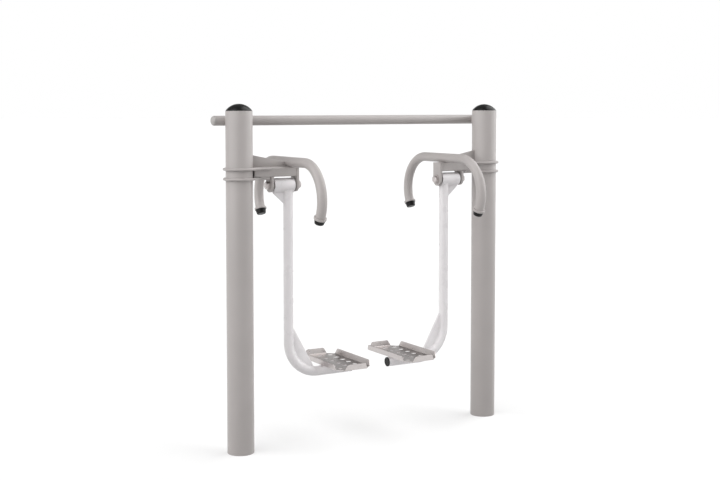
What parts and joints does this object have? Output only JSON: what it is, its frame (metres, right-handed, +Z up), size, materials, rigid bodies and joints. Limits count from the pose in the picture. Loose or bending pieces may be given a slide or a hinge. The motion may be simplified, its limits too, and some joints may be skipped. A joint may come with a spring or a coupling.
{
  "type": "outdoor air walker",
  "caption": "Outdoor air walker: two capped steel posts joined by a bar, each with an arched handle and a free-swinging arm that carries a perforated footrest.",
  "frame": {"origin": "on the ground, midway between the two posts", "axes": "+X runs from the left post to the right post, +Y to the back, where the joining bar is, and +Z up"},
  "size_m": [1.447, 0.6404, 1.4795],
  "materials": {
    "grey_coat": "satin powder coat",
    "light_coat": "satin powder coat",
    "sheet_steel": "satin",
    "fastener": "bright",
    "bearing_steel": "polished",
    "black_plastic": "moulded",
    "grey_plastic": "moulded"
  },
  "bodies": {
    "frame": {"left_post": "grey_coat", "right_post": "grey_coat", "left_post_cap": "black_plastic", "right_post_cap": "black_plastic", "top_rail": "grey_coat", "left_rail_cap": "grey_plastic", "right_rail_cap": "grey_plastic", "left_rail_saddle": "grey_coat", "right_rail_saddle": "grey_coat", "left_rail_bolt": "fastener", "right_rail_bolt": "fastener", "left_rail_nut": "fastener", "right_rail_nut": "fastener", "left_beam": "grey_coat", "right_beam": "grey_coat", "left_beam_gusset": "grey_coat", "right_beam_gusset": "grey_coat", "left_hoop_lower": "grey_coat", "left_hoop_upper": "grey_coat", "right_hoop_lower": "grey_coat", "right_hoop_upper": "grey_coat", "left_ear_outer": "grey_coat", "left_ear_inner": "grey_coat", "right_ear_outer": "grey_coat", "right_ear_inner": "grey_coat", "left_handle": "grey_coat", "right_handle": "grey_coat", "left_handle_plug_front": "black_plastic", "left_handle_plug_back": "black_plastic", "right_handle_plug_front": "black_plastic", "right_handle_plug_back": "black_plastic", "left_pivot_bolt": "fastener", "right_pivot_bolt": "fastener", "left_pivot_nut": "fastener", "right_pivot_nut": "fastener", "left_washer_head": "fastener", "left_washer_nut": "fastener", "right_washer_head": "fastener", "right_washer_nut": "fastener", "left_spacer_sleeve": "fastener", "right_spacer_sleeve": "fastener"},
    "left_swing": {"left_hub": "light_coat", "left_bearing_inner": "bearing_steel", "left_bearing_outer": "bearing_steel", "left_arm": "light_coat", "left_arm_gusset": "light_coat", "left_arm_fin": "light_coat", "left_arm_plug": "black_plastic", "left_pedal_bearer": "light_coat", "left_pedal": "sheet_steel"},
    "right_swing": {"right_hub": "light_coat", "right_bearing_inner": "bearing_steel", "right_bearing_outer": "bearing_steel", "right_arm": "light_coat", "right_arm_gusset": "light_coat", "right_arm_fin": "light_coat", "right_arm_plug": "black_plastic", "right_pedal_bearer": "light_coat", "right_pedal": "sheet_steel"}
  },
  "joints": [
    {"name": "left_pivot", "type": "hinge", "parent": "frame", "child": "left_swing", "pos_m": [-0.43, 0, 1.133], "axis": [1, 0, 0], "range_deg": [-45, 45]},
    {"name": "right_pivot", "type": "hinge", "parent": "frame", "child": "right_swing", "pos_m": [0.43, 0, 1.133], "axis": [1, 0, 0], "range_deg": [-45, 45]}
  ]
}
